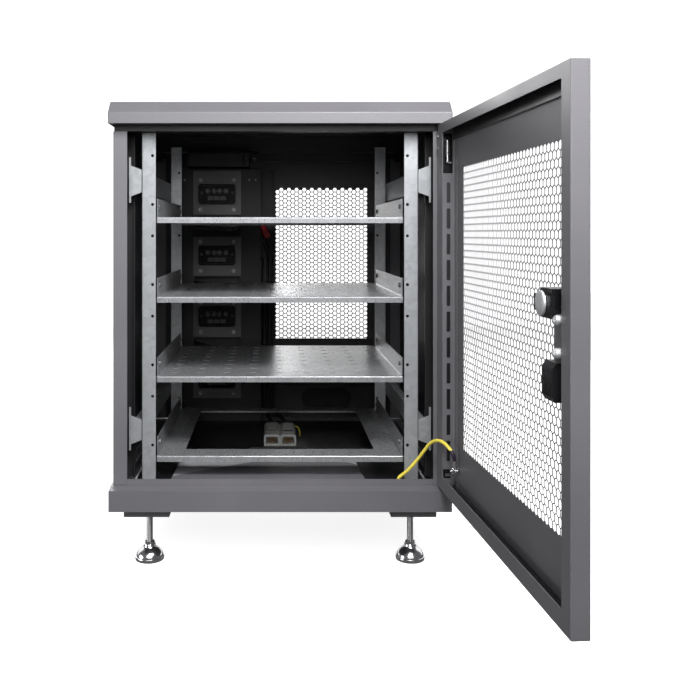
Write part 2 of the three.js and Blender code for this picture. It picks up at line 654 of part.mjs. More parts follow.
makeCap();
makeUpperBeams();
makeBase();
makeFloor();
makeSidePanels();
makeRearPanel();
makePosts();
makeRails();
makeSideBeams();
makeShelves();
makeColumn();
makeSockets();
makeTerminalCover();
place('positive_cable', tube(POSITIVE_ROUTE, CABLE_R, 8, 60), 'red');
place('negative_cable', tube(NEGATIVE_ROUTE, CABLE_R, 8, 50), 'black');
place('ground_wire', tube(WIRE_ROUTE, WIRE_R, 10, 24), 'yellow');
makePowerConnectors();
makeDoorPanel();
makeHingeStile();
makeHingePins();
makeLock();
makeFeet();

export default cabinet;
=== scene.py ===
import json
import math

import bpy
from mathutils import Matrix, Vector
from mathutils.geometry import delaunay_2d_cdt


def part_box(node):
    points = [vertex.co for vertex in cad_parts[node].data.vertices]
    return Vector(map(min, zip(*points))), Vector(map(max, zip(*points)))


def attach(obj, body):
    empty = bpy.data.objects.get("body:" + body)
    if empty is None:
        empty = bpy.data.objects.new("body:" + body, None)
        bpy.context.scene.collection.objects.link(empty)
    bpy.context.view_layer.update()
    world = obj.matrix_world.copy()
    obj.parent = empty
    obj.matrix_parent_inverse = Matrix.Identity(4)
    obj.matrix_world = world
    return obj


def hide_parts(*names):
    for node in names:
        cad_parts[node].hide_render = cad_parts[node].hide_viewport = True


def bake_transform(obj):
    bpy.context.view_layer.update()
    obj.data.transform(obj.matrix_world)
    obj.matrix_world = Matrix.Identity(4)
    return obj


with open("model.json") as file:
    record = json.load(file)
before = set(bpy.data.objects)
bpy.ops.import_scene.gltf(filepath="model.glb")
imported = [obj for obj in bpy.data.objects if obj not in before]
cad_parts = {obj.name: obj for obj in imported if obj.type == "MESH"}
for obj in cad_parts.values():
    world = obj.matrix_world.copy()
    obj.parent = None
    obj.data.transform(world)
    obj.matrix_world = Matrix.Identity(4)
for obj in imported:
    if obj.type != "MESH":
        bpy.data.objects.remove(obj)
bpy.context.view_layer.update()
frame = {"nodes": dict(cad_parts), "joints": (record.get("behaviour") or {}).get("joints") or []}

# ---- driving sizes, in millimetres of the cabinet: X from its centre, Y from its front, Z up ----
MM = 0.001
SHEET = 1.5
BAYS = 4
BAY_PITCH = 146.4
SHELF_FIRST = 193.6
FLOOR_TOP = 153.5
SHELF_HALF = 226.4
SHELF_FRONT = 36
SHELF_BACK = 476
RAIL_INNER = 226.8
RAIL_OUTER = 252.2
RAIL_DEEP = 40
RAIL_HOLE_X = 232.6
RAIL_HOLE_R = 2.8
RAIL_HOLE_FIRST = 216.4
RAIL_HOLE_STEP = 89
DOOR_HALF = 297
DOOR_LOW = 150.4
DOOR_HIGH = 797.5
DOOR_OUT = -28
DOOR_IN = -5
DOOR_SHEET = 1.6
DOOR_SIDE_LIP = 33
DOOR_FREE_LIP = 26.5
SLOT_Y = -19
DOOR_TOP_LIP = 18
DOOR_BOTTOM_LIP = 24.5
STUD_X = 235
STUD_Z = 194
LOCK_X = -243
LOCK_Z = 521.5
CAP_HALF = 305.4
CAP_LOW = 798
CAP_TOP = 839
CAP_SLOPE = 21.6
LIP_Y = -25
CAP_BACK = 575

SWING = next(j for j in frame["joints"] if j["name"] == "door_swing")
DOOR_OPEN = -math.radians(SWING["range_deg"][0])
HINGE_X = 290
HINGE_Y = -13
LEVER_X = 267
LEVER_Y = -15

# CABINET and DOOR turn the cabinet's millimetres into the row frame; the door is drawn closed
left_low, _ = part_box("left_side_panel")
_, right_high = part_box("right_side_panel")
CABINET = (Matrix.Translation(((left_low.x + right_high.x) / 2, left_low.y, 0))
           @ Matrix.Diagonal((MM, MM, MM, 1)))
DOOR = (CABINET @ Matrix.Translation((HINGE_X, HINGE_Y, 0)) @ Matrix.Rotation(DOOR_OPEN, 4, "Z")
        @ Matrix.Translation((-HINGE_X, -HINGE_Y, 0)))


# ---- camera ----
CAMERA_PLACE = CABINET @ Vector((-14.6, -1560, 602.5))
camera = bpy.data.objects.new("camera", bpy.data.cameras.new("camera"))
bpy.context.scene.collection.objects.link(camera)
camera.location = CAMERA_PLACE
camera.rotation_euler = (math.pi / 2, 0, 0)
camera.data.lens = 44.64
camera.data.sensor_width = 36
camera.data.shift_x = 0.1114
camera.data.shift_y = -0.1664
bpy.context.scene.camera = camera


# ---- materials ----
def new_material(name, base, metallic=0.0, roughness=0.5):
    material = bpy.data.materials.new(name)
    material.use_nodes = True
    shader = material.node_tree.nodes["Principled BSDF"]
    shader.inputs["Base Color"].default_value = (*base, 1)
    shader.inputs["Metallic"].default_value = metallic
    shader.inputs["Roughness"].default_value = roughness
    return material, material.node_tree, shader


def place_texture(tree, kind, scale, **settings):
    """A texture node read in object space, so it needs no unwrapping."""
    where = tree.nodes.new("ShaderNodeTexCoord")
    node = tree.nodes.new(kind)
    node.inputs["Scale"].default_value = scale
    for name, value in settings.items():
        node.inputs[name.replace("_", " ").title()].default_value = value
    tree.links.new(where.outputs["Object"], node.inputs["Vector"])
    return node


def vary(tree, factor, low, high, target, spread=(0.3, 0.7)):
    """Maps a 0-1 texture output onto low-high and feeds a shader input with it."""
    node = tree.nodes.new("ShaderNodeMapRange")
    node.inputs["From Min"].default_value = spread[0]
    node.inputs["From Max"].default_value = spread[1]
    node.inputs["To Min"].default_value = low
    node.inputs["To Max"].default_value = high
    tree.links.new(factor, node.inputs["Value"])
    tree.links.new(node.outputs["Result"], target)


def vary_colour(tree, factor, low, high, target, spread=(0.3, 0.7)):
    ramp = tree.nodes.new("ShaderNodeValToRGB")
    ramp.color_ramp.elements[0].position = spread[0]
    ramp.color_ramp.elements[1].position = spread[1]
    ramp.color_ramp.elements[0].color = (*low, 1)
    ramp.color_ramp.elements[1].color = (*high, 1)
    tree.links.new(factor, ramp.inputs["Fac"])
    tree.links.new(ramp.outputs["Color"], target)


def bump(tree, shader, height, strength, distance):
    node = tree.nodes.new("ShaderNodeBump")
    node.inputs["Strength"].default_value = strength
    node.inputs["Distance"].default_value = distance
    tree.links.new(height, node.inputs["Height"])
    tree.links.new(node.outputs["Normal"], shader.inputs["Normal"])


def tint(base, share):
    return tuple(min(1.0, channel * share) for channel in base)


def powder_coat(name, base, roughness=0.42, grain=900, depth=0.00012, sheen=0.5):
    """Fine orange-peel paint with slightly uneven gloss; sheen sets how strongly it mirrors."""
    material, tree, shader = new_material(name, base, 0, roughness)
    shader.inputs["IOR"].default_value = 1.6
    shader.inputs["Specular IOR Level"].default_value = sheen
    peel = place_texture(tree, "ShaderNodeTexNoise", grain, detail=3)
    cloud = place_texture(tree, "ShaderNodeTexNoise", 6, detail=4)
    bump(tree, shader, peel.outputs["Fac"], 0.35, depth)
    vary(tree, cloud.outputs["Fac"], roughness - 0.05, roughness + 0.07, shader.inputs["Roughness"])
    vary_colour(tree, cloud.outputs["Fac"], tint(base, 0.94), tint(base, 1.06), shader.inputs["Base Color"])
    return material


def spangled_zinc(name, base, roughness=0.34, metallic=0.55, relief=0.06):
    """Galvanised sheet: crystals of slightly different brightness."""
    material, tree, shader = new_material(name, base, metallic, roughness)
    crystal = place_texture(tree, "ShaderNodeTexVoronoi", 95, randomness=1.0)
    speck = place_texture(tree, "ShaderNodeTexNoise", 260, detail=4)
    vary_colour(tree, crystal.outputs["Color"], tint(base, 0.92), tint(base, 1.07),
                shader.inputs["Base Color"], (0.15, 0.85))
    vary(tree, speck.outputs["Fac"], roughness - 0.07, roughness + 0.12, shader.inputs["Roughness"])
    if relief:
        bump(tree, shader, crystal.outputs["Distance"], relief, 0.0002)
    return material


def plated(name, base, roughness, scratch=700, metallic=1.0):
    """Polished or zinc-plated metal with faint handling marks."""
    material, tree, shader = new_material(name, base, metallic, roughness)
    marks = place_texture(tree, "ShaderNodeTexNoise", scratch, detail=5)
    cloud = place_texture(tree, "ShaderNodeTexNoise", 120, detail=2)
    vary(tree, marks.outputs["Fac"], roughness, roughness + 0.16, shader.inputs["Roughness"])
    vary_colour(tree, cloud.outputs["Fac"], tint(base, 0.9), tint(base, 1.05), shader.inputs["Base Color"])
    return material


def moulded(name, base, roughness, grain=1400, depth=0.00008, sheen=0.5):
    """Moulded plastic or rubber with a fine eroded texture."""
    material, tree, shader = new_material(name, base, 0, roughness)
    shader.inputs["Specular IOR Level"].default_value = sheen
    skin = place_texture(tree, "ShaderNodeTexNoise", grain, detail=2)
    cloud = place_texture(tree, "ShaderNodeTexNoise", 40, detail=3)
    bump(tree, shader, skin.outputs["Fac"], 0.25, depth)
    vary(tree, cloud.outputs["Fac"], roughness - 0.06, roughness + 0.08, shader.inputs["Roughness"])
    vary_colour(tree, cloud.outputs["Fac"], tint(base, 0.88), tint(base, 1.12), shader.inputs["Base Color"])
    return material


PAINT = powder_coat("grey_powder_coat", (0.13, 0.127, 0.138), 0.45)
DARK_PAINT = powder_coat("dark_interior_coat", (0.016, 0.0157, 0.0175), 0.45, 700, 0.00012, 0.25)
REAR_PAINT = powder_coat("rear_panel_coat", (0.04, 0.039, 0.043), 0.45, 700, 0.00012, 0.3)
# Near-black painted shade for the front top beam, which lies in the shadow under the cap.
BEAM_SHADE_COAT = powder_coat("beam_painted_shade_coat", (0.006, 0.006, 0.007), 0.4, 700, 0.00012, 0.3)
ZINC = spangled_zinc("galvanised_sheet", (0.34, 0.35, 0.365), 0.5)
CHROME = plated("chrome_plate", (0.8, 0.8, 0.82), 0.1)
BOLT_ZINC = plated("plated_fasteners", (0.6, 0.6, 0.6), 0.25)
BLACK_PLASTIC = moulded("black_plastic", (0.007, 0.007, 0.008), 0.3, 1400, 0.00008, 0.4)
# A lighter coat on the floor's upward faces: painted light where the floor lies in the shelf's shadow.
FLOOR_PAINTED_LIGHT = powder_coat("floor_painted_light_coat", (0.34, 0.335, 0.35), 0.4)
RUBBER = moulded("black_rubber", (0.014, 0.014, 0.015), 0.62)
GREY_PLASTIC = moulded("grey_plastic", (0.36, 0.36, 0.35), 0.42)
PLATE_COAT = powder_coat("dark_plate_coat", (0.06, 0.059, 0.063), 0.42, 700)
SHELF_ZINC = spangled_zinc("galvanised_shelf", (0.33, 0.335, 0.348), 0.3, 0.5, 0)
# A much brighter copy of the galvanised finish for the rear rails: painted light in the dark back of the
# cabinet.
REAR_RAIL_PAINTED_LIGHT = spangled_zinc("galvanised_painted_light", (0.8, 0.81, 0.83), 0.4, 0.35)
SATIN = plated("satin_chrome", (0.62, 0.63, 0.65), 0.3, 700, 0.55)
# Black painted shade: laid on the floor behind the sill, on the raised seat, behind the stile's slots and
# inside the door's top and bottom lips, where these only lie in shadow.
SHADE_BLACK = powder_coat("black_painted_shade", (0.006, 0.006, 0.007), 0.34, 900, 0.00004)
HOUSING = moulded("socket_housing_plastic", (0.005, 0.005, 0.006), 0.45, 1400, 0.00008, 0.15)
# Dark grey a little lighter than the black housings: painted highlights on the contact rims.
SHROUD_PAINTED_HIGHLIGHT = moulded("socket_shroud_painted_highlight", (0.035, 0.035, 0.038), 0.4)
SCREW_ZINC = plated("dull_screws", (0.24, 0.24, 0.245), 0.38)
WIRE_YELLOW = moulded("yellow_wire_skin", (0.86, 0.72, 0.09), 0.36)
WIRE_RED = moulded("red_cable_skin", (0.55, 0.016, 0.035), 0.34)
SLEEVE = moulded("shrink_sleeve", (0.02, 0.012, 0.03), 0.3)
COPPER = plated("contact_metal", (0.7, 0.44, 0.24), 0.25)
PIN_METAL = plated("dark_contact_metal", (0.2, 0.16, 0.12), 0.35)


# ---- making pieces ----
def piece(name, verts, faces, where, body, material, smooth=False):
    """One visible piece: a mesh in the row frame that rides on a CAD body."""
    mesh = bpy.data.meshes.new(name)
    mesh.from_pydata([where @ Vector(v) for v in verts], [], faces)
    mesh.validate()
    mesh.update()
    thing = bpy.data.objects.new(name, mesh)
    bpy.context.scene.collection.objects.link(thing)
    for each in (material if isinstance(material, list) else [material]):
        mesh.materials.append(each)
    for face in mesh.polygons:
        face.use_smooth = smooth
    if body:
        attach(thing, body)
    return thing


def thicken(thing, thickness, offset=-1):
    solid = thing.modifiers.new("thickness", "SOLIDIFY")
    solid.thickness = thickness * MM
    solid.offset = offset
    solid.use_even_offset = True
    return thing


def soften(thing, width, segments=2, angle=35):
    """Rounds the sharp edges."""
    bevel = thing.modifiers.new("edges", "BEVEL")
    bevel.width = width * MM
    bevel.segments = segments
    bevel.limit_method = "ANGLE"
    bevel.angle_limit = math.radians(angle)
    bevel.harden_normals = False
    return thing


def plate(outline, holes=(), lines=()):
    """Points and faces of a flat plate with holes, cut along lines where it will bend."""
    points = []
    loops = []
    for loop in [outline, *holes]:
        loops.append(list(range(len(points), len(points) + len(loop))))
        points.extend(loop)
    edges = []
    for start, end in lines:
        edges.append((len(points), len(points) + 1))
        points.extend([start, end])
    found = delaunay_2d_cdt([Vector(p) for p in points], edges, loops, 4, 1e-4, True)
    faces = [face for face, inside in zip(found[2], found[5]) if list(inside) == [0]]
    return [(v.x, v.y) for v in found[0]], faces


def rounded_rectangle(x0, x1, y0, y1, radius, steps=4):
    corners = [(x1 - radius, y1 - radius, 0), (x0 + radius, y1 - radius, 90),
               (x0 + radius, y0 + radius, 180), (x1 - radius, y0 + radius, 270)]
    loop = []
    for cx, cy, start in corners:
        for step in range(steps + 1):
            angle = math.radians(start + 90 * step / steps)
            loop.append((cx + radius * math.cos(angle), cy + radius * math.sin(angle)))
    return loop


def circle(cx, cy, radius, steps=16, turn=0.0):
    return [(cx + radius * math.cos(turn + math.tau * i / steps),
             cy + radius * math.sin(turn + math.tau * i / steps)) for i in range(steps)]


def bend_profile(corners, radius=1.8, steps=4):
    """A folded sheet's section as (flat length, a, b) stations, with rounded corners."""
    spots = [Vector(c) for c in corners]
    path = [spots[0]]
    for before, here, after in zip(spots, spots[1:], spots[2:]):
        back = (before - here).normalized()
        on = (after - here).normalized()
        half = back.angle(on) / 2
        reach = radius / math.tan(half)
        centre = here + (back + on).normalized() * radius / math.sin(half)
        first = here + back * reach - centre
        last = here + on * reach - centre
        sweep = first.angle_signed(last)
        for step in range(steps + 1):
            turned = first.copy()
            turned.rotate(Matrix.Rotation(-sweep * step / steps, 2))
            path.append(centre + turned)
    path.append(spots[-1])
    stations = [(0.0, path[0].x, path[0].y)]
    for before, here in zip(path, path[1:]):
        stations.append((stations[-1][0] + (here - before).length, here.x, here.y))
    return stations


def follow(stations, length):
    """The section's point at a flat length."""
    for (s0, a0, b0), (s1, a1, b1) in zip(stations, stations[1:]):
        if length <= s1 or s1 == stations[-1][0]:
            share = (length - s0) / (s1 - s0)
            return a0 + (a1 - a0) * share, b0 + (b1 - b0) * share


def flat_at(stations, a=None, b=None, leg=0):
    """The flat length where the section reaches a or b, taking the leg-th match."""
    hits = []
    for (s0, a0, b0), (s1, a1, b1) in zip(stations, stations[1:]):
        low, high, want = (a0, a1, a) if a is not None else (b0, b1, b)
        if abs(high - low) > 1e-6 and min(low, high) - 1e-6 <= want <= max(low, high) + 1e-6:
            hits.append(s0 + (s1 - s0) * (want - low) / (high - low))
    return hits[leg]


def folded(name, across, along, holes, where, body, material, turn, thickness=SHEET,
           notches=(), offset=-1):
    """A sheet folded across one direction: the section runs in (a, b), and the sheet along v.
    turn(a, b, v) gives the cabinet's point; notches cut pieces out of the sheet's outline."""
    low, high = along
    last = across[-1][0]
    outline = [(0, low), (last, low), (last, high), (0, high)]
    lines = [((s, low - 1), (s, high + 1)) for s, _, _ in across[1:-1]]
    points, faces = plate(outline, [*holes, *notches], lines)
    verts = [turn(*follow(across, s), v) for s, v in points]
    thing = piece(name, verts, faces, where, body, material)
    return thicken(thing, thickness, offset)


def lofted(rings, close_first=None, close_last=None):
    """Points and faces between rings of equal length; an end may be closed with a plate."""
    verts = [p for ring in rings for p in ring]
    count = len(rings[0])
    faces = []
    for level in range(len(rings) - 1):
        for i in range(count):
            j = (i + 1) % count
            faces.append((level * count + i, level * count + j,
                          (level + 1) * count + j, (level + 1) * count + i))
    if close_first:
        faces.append(tuple(reversed(range(count))))
    if close_last:
        faces.append(tuple(range((len(rings) - 1) * count, len(rings) * count)))
    return verts, faces


def lathe(profile, axis_point, axis, steps=32, squash=None):
    """Points and faces of a turned shape: profile is (radius, height) along the axis from axis_point."""
    axis = Vector(axis).normalized()
    side = axis.orthogonal().normalized()
    if abs(axis.z) > 0.9:
        side = Vector((1, 0, 0))
    other = axis.cross(side)
    rings = []
    for radius, height in profile:
        ring = []
        for i in range(steps):
            angle = math.tau * i / steps
            reach = radius * (squash(i / steps) if squash else 1)
            ring.append(Vector(axis_point) + axis * height
                        + side * (reach * math.cos(angle)) + other * (reach * math.sin(angle)))
        rings.append(ring)
    return lofted(rings, True, True)


def cluster(name, shapes, where, body, material):
    """Several small shapes as one piece, smooth with sharp edges kept."""
    verts = []
    faces = []
    for points, loops in shapes:
        faces.extend(tuple(i + len(verts) for i in loop) for loop in loops)
        verts.extend(points)
    return split_edges(piece(name, verts, faces, where, body, material, True))


def turned(name, profile, axis_point, axis, where, body, slot, material, steps=32, squash=None):
    return cluster(name, [lathe(profile, axis_point, axis, steps, squash)], where, body, material)


def split_edges(thing, angle=32):
    """Smooth shading that keeps its sharp edges."""
    mesh = thing.data
    mesh.shade_smooth()
    limit = math.cos(math.radians(angle))
    beside = {}
    for face in mesh.polygons:
        for key in face.edge_keys:
            beside.setdefault(key, []).append(face.normal)
    for edge in mesh.edges:
        normals = beside.get(tuple(sorted(edge.vertices)), [])
        if len(normals) == 2 and normals[0].dot(normals[1]) < limit:
            edge.use_edge_sharp = True
    return thing


def hexagon(share):
    """Radius factor that turns a round lathe into a hexagon."""
    angle = (share * math.tau) % (math.pi / 3) - math.pi / 6
    return math.cos(math.pi / 6) / math.cos(angle)


def screw(point, axis, radius, tall):
    """A round head with a hexagon socket."""
    socket = radius * 0.45
    return lathe([(socket, tall * 0.45), (socket, tall), (radius * 0.72, tall), (radius * 0.92, tall * 0.7),
                  (radius, tall * 0.3), (radius, 0)], point, axis, 24)


def nut(point, axis, flats, tall):
    across = flats / math.sqrt(3)
    return lathe([(across * 0.4, 0), (across * 0.97, 0), (across, tall * 0.12), (across, tall * 0.88),
                  (across * 0.94, tall), (across * 0.6, tall)], point, axis, 36, hexagon)


def washer(point, axis, radius, tall):
    return lathe([(radius * 0.5, 0), (radius, 0), (radius, tall), (radius * 0.5, tall)], point, axis, 32)


def block(x0, x1, y0, y1, z0, z1, radius=1.0):
    """A box with rounded upright corners and softened ends along Y."""
    rings = []
    for y, inset in ((y0, 0.5), (y0 + 0.5, 0), (y1 - 0.5, 0), (y1, 0.5)):
        loop = rounded_rectangle(x0 + inset, x1 - inset, z0 + inset, z1 - inset, radius)
        rings.append([(x, y, z) for x, z in loop])
    return lofted(rings, True, True)


def filleted(corners, radius, steps=6):
    """A line through corners in space, with its bends rounded."""
    spots = [Vector(c) for c in corners]
    line = [spots[0]]
    for before, here, after in zip(spots, spots[1:], spots[2:]):
        back = (before - here).normalized()
        on = (after - here).normalized()
        first, last = here + back * radius, here + on * radius
        for step in range(steps + 1):
            t = step / steps
            line.append(first * (1 - t) ** 2 + here * (2 * t * (1 - t)) + last * t ** 2)
    line.append(spots[-1])
    return line


def curve_points(route, per_leg=10):
    """Centripetal Catmull-Rom through the route, the same line as the CAD tube's."""
    spots = [Vector(p) for p in route]
    spots = [spots[0] * 2 - spots[1], *spots, spots[-1] * 2 - spots[-2]]
    line = []
    for p0, p1, p2, p3 in zip(spots, spots[1:], spots[2:], spots[3:]):
        d0 = max((p1 - p0).length ** 0.5, 1e-6)
        d1 = max((p2 - p1).length ** 0.5, 1e-6)
        d2 = max((p3 - p2).length ** 0.5, 1e-6)
        t1 = ((p1 - p0) / d0 - (p2 - p0) / (d0 + d1) + (p2 - p1) / d1) * d1
        t2 = ((p2 - p1) / d1 - (p3 - p1) / (d1 + d2) + (p3 - p2) / d2) * d1
        for step in range(per_leg):
            t = step / per_leg
            line.append(p1 * (2 * t ** 3 - 3 * t ** 2 + 1) + t1 * (t ** 3 - 2 * t ** 2 + t)
                        + p2 * (3 * t ** 2 - 2 * t ** 3) + t2 * (t ** 3 - t ** 2))
    line.append(spots[-2])
    return line


def swept(name, line, radius, where, body, material, steps=16, closed_ends=True):
    """A round tube or rod along a line of points; radius may be a function of the share along it."""
    up = Vector((0, 0, 1))
    rings = []
    side = None
    for i, spot in enumerate(line):
        ahead = (line[min(i + 1, len(line) - 1)] - line[max(i - 1, 0)]).normalized()
        if side is None:
            side = ahead.orthogonal().normalized() if abs(ahead.z) > 0.9 else up.cross(ahead).normalized()
        side = (side - ahead * side.dot(ahead)).normalized()
        other = ahead.cross(side)
        size = radius(i / (len(line) - 1)) if callable(radius) else radius
        rings.append([spot + side * (size * math.cos(math.tau * k / steps))
                      + other * (size * math.sin(math.tau * k / steps)) for k in range(steps)])
    verts, faces = lofted(rings, closed_ends, closed_ends)
    return split_edges(piece(name, verts, faces, where, body, material, True), 50)


# ---- the ground wire: out of the floor, up and across the gap to the stud inside the door ----
WIRE_R = 3
WIRE_ROUTE = [
    (214, 15.5, 153.5), (216, 14.5, 160), (221.5, 12.5, 165.5), (229, 9, 173), (238, 4, 184),
    (247, -3, 198), (255.5, -11.5, 213), (264, -22, 229), (270.5, -31, 236.6), (276.5, -41, 240),
    (282.5, -51, 239.5), (288, -60, 235.5), (293, -66, 229), (297, -69, 221), (299.3, -69.5, 212.5),
]
SLEEVE_FROM = 0.9
wire_line = curve_points(WIRE_ROUTE, 8)
wire = swept("ground_lead", wire_line, lambda share: WIRE_R + (0.35 if share > SLEEVE_FROM else 0),
             CABINET, None, [WIRE_YELLOW, SLEEVE], 20)
for face in wire.data.polygons:
    if face.center.z < (CABINET @ wire_line[-1]).z + 0.017 and face.center.y < (CABINET @ wire_line[-20]).y:
        face.material_index = 1
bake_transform(wire)
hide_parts("ground_wire")


# ---- the cap: one shell with a sloping front, and the fold behind its front edge ----
def make_cap():
    def ring(inset, z, slope=0.0, radius=2.5):
        loop = rounded_rectangle(-CAP_HALF + inset, CAP_HALF - inset, LIP_Y + inset + slope,
                                 CAP_BACK - inset, radius)
        return [(x, y, z) for x, y in loop]

    low = CAP_TOP - CAP_SLOPE
    rings = [ring(0, CAP_LOW), ring(0, low - 1.4), ring(0.05, low - 0.4, 0.1), ring(0.1, low + 0.6, 0.6),
             ring(0.2, CAP_TOP - 2.2, CAP_SLOPE - 2.6), ring(0.5, CAP_TOP - 0.8, CAP_SLOPE - 1.2),
             ring(1.2, CAP_TOP - 0.1, CAP_SLOPE - 0.2), ring(2.0, CAP_TOP, CAP_SLOPE + 0.6)]
    verts, faces = lofted(rings, False, True)
    cap = thicken(piece("cap_shell", verts, faces, CABINET, "root", PAINT), 1.6)
    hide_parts("top_cap")
    hole = circle(HINGE_X, HINGE_Y, 3.6, 20)
    points, faces = plate(rounded_rectangle(2.0 - CAP_HALF, CAP_HALF - 2.0, LIP_Y + 1.8, -0.3, 1.5), [hole])
    fold = piece("cap_front_fold", [(x, y, 798.6) for x, y in points], faces, CABINET, "root",
                 PAINT)
    thicken(fold, 1.4, 1)


# ---- perforations; the door's sheet stays whole beside the lock ----
LOCK_SHEET_X = -192
LOCK_SHEET_LOW = 420
LOCK_SHEET_HIGH = 530
DOOR_HOLE_PITCH = 12.55
DOOR_HOLE_ACROSS = 11.4
REAR_HOLE_PITCH = 10.8
REAR_HOLE_ACROSS = 8.8


def clipped(loop, low, high):
    """The part of a convex loop between two upright lines, or None if little is left."""
    for limit, keep in ((low, lambda x: x >= low), (high, lambda x: x <= high)):
        kept = []
        for here, after in zip(loop, loop[1:] + loop[:1]):
            if keep(here[0]):
                kept.append(here)
            if keep(here[0]) != keep(after[0]):
                share = (limit - here[0]) / (after[0] - here[0])
                kept.append((limit, here[1] + (after[1] - here[1]) * share))
        loop = kept
        if not loop:
            return None
    return loop if max(x for x, _ in loop) - min(x for x, _ in loop) > 2 else None


def door_hexagons(x0, x1, z0, z1, pitch, across):
    """Rows of hexagons standing on a point, cut off straight at the sides of the zone."""
    step = pitch * math.sqrt(3) / 2
    reach = across / math.sqrt(3)
    found = []
    for row in range(int((z1 - z0 - 2 * reach) / step) + 1):
        z = z1 - reach - row * step
        x = x1 + pitch / 2 - (pitch / 2 if row % 2 else 0)
        while x > x0 - pitch:
            near_lock = LOCK_SHEET_LOW < z < LOCK_SHEET_HIGH
            loop = clipped(circle(x, z, reach, 6, math.pi / 6), LOCK_SHEET_X if near_lock else x0, x1)
            if loop:
                found.append(loop)
            x -= pitch
    return found


def rear_hexagons(x0, x1, z0, z1, pitch, across):
    """Columns of hexagons lying on a flat side."""
    step = pitch * math.sqrt(3) / 2
    reach = across / math.sqrt(3)
    found = []
    for column in range(int((x1 - x0 - 2 * reach) / step) + 1):
        x = x1 - reach - column * step
        z = z1 - across / 2 - (pitch / 2 if column % 2 else 0)
        while z - across / 2 >= z0:
            found.append(circle(x, z, reach, 6))
            z -= pitch
    return found


def stadium(cx, cz, half_x, half_z, steps=10):
    return rounded_rectangle(cx - half_x, cx + half_x, cz - half_z, cz + half_z, half_z - 0.01, steps)


def make_rear_panel():
    section = bend_profile([(-298, 572), (-298, 566), (298, 566), (298, 572)], 2)
    shift = flat_at(section, a=0)
    holes = rear_hexagons(-7, 219, 235, 714, REAR_HOLE_PITCH, REAR_HOLE_ACROSS)
    holes.append(stadium(118.5, 199, 54, 20))
    moved = [[(x + shift, z) for x, z in hole] for hole in holes]
    panel = folded("perforated_rear_panel", section, (151, 799), moved, CABINET, "root",
                   REAR_PAINT, lambda a, b, v: (a, b, v), 1.4)
    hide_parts("rear_panel")


# ---- shelves: folded down at the front and back, up at the sides ----
def make_shelf(index):
    top = SHELF_FIRST + index * BAY_PITCH
    inner = SHELF_HALF - SHEET
    across = bend_profile([(-inner, 34), (-inner, 0), (inner, 0), (inner, 34)], 2.2)
    deep = bend_profile([(SHELF_FRONT, -11), (SHELF_FRONT, 0), (SHELF_BACK, 0), (SHELF_BACK, -11)], 2.2)
    x_shift = flat_at(across, a=0)
    y_shift = flat_at(deep, a=SHELF_FRONT + 100) - SHELF_FRONT - 100
    wide = across[-1][0]
    long = deep[-1][0]
    # flanges stop short of the lips, which run the full width
    left, right = flat_at(across, a=-inner + 3), flat_at(across, a=inner - 3)
    front, back = 42 + y_shift, 438 + y_shift
    lip_left, lip_right = x_shift - SHELF_HALF, x_shift + SHELF_HALF
    outline = [(lip_left, 0), (lip_right, 0), (lip_right, front - 0.5), (right, front - 0.5),
               (right, front), (wide, front), (wide, back), (right, back), (right, back + 0.5),
               (lip_right, back + 0.5), (lip_right, long), (lip_left, long), (lip_left, back + 0.5),
               (left, back + 0.5), (left, back), (0, back), (0, front), (left, front),
               (left, front - 0.5), (lip_left, front - 0.5)]
    holes = []
    if index == 0:
        holes.append([(x + x_shift, y + y_shift)
                      for x, y in rounded_rectangle(-178.5, 178.5, 87, 440, 5)])
    else:
        for row in range(8):
            for column in range(-4, 5):
                x, y = column * 50, 80 + row * 51.3
                holes.append([(px + x_shift, py + y_shift) for px, py in stadium(x, y, 6.8, 3, 4)])
    for y in (63, 240, 417):
        for start, sign in ((flat_at(across, b=20), 1), (flat_at(across, b=20, leg=-1), -1)):
            holes.append(circle(start, y + y_shift, 2.6, 10))
    lines = [((s, -1), (s, long + 1)) for s, _, _ in across[1:-1]]
    lines += [((-1, s), (wide + 1, s)) for s, _, _ in deep[1:-1]]
    points, faces = plate(outline, holes, lines)
    verts = []
    for s, v in points:
        x, up = follow(across, s) if front - 0.3 < v < back + 0.3 else (s - x_shift, 0)
        y, down = follow(deep, v)
        verts.append((x, y, top + up + down))
    shelf = piece(f"perforated_shelf_{index + 1}", verts, faces, CABINET, "root",
                  SHELF_ZINC)
    thicken(shelf, SHEET)
    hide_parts(f"shelf_{index + 1}")


# ---- rack rails ----
def make_rail(end, word, side, front, top):
    section = bend_profile([(RAIL_INNER, front), (RAIL_OUTER, front), (RAIL_OUTER, front + RAIL_DEEP)], 2)
    holes = []
    hole_at = RAIL_HOLE_X - RAIL_INNER
    for bay in range(BAYS):
        for up in (0, RAIL_HOLE_STEP):
            z = RAIL_HOLE_FIRST + bay * BAY_PITCH + up
            holes.append(circle(hole_at, z, RAIL_HOLE_R, 12))
            holes.append(circle(section[-1][0] - 14, z, 3.2, 12))
    # The rear rails take the brighter copy: painted light.
    finish = ZINC if end == "front" else REAR_RAIL_PAINTED_LIGHT
    rail = folded(f"{end}_{word}_rail", section, (FLOOR_TOP + 0.3, top), holes, CABINET, "root",
                  finish, lambda a, b, v: (side * a, b, v), 2, (), -side)
    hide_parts(f"{end}_{word}_rack_rail")


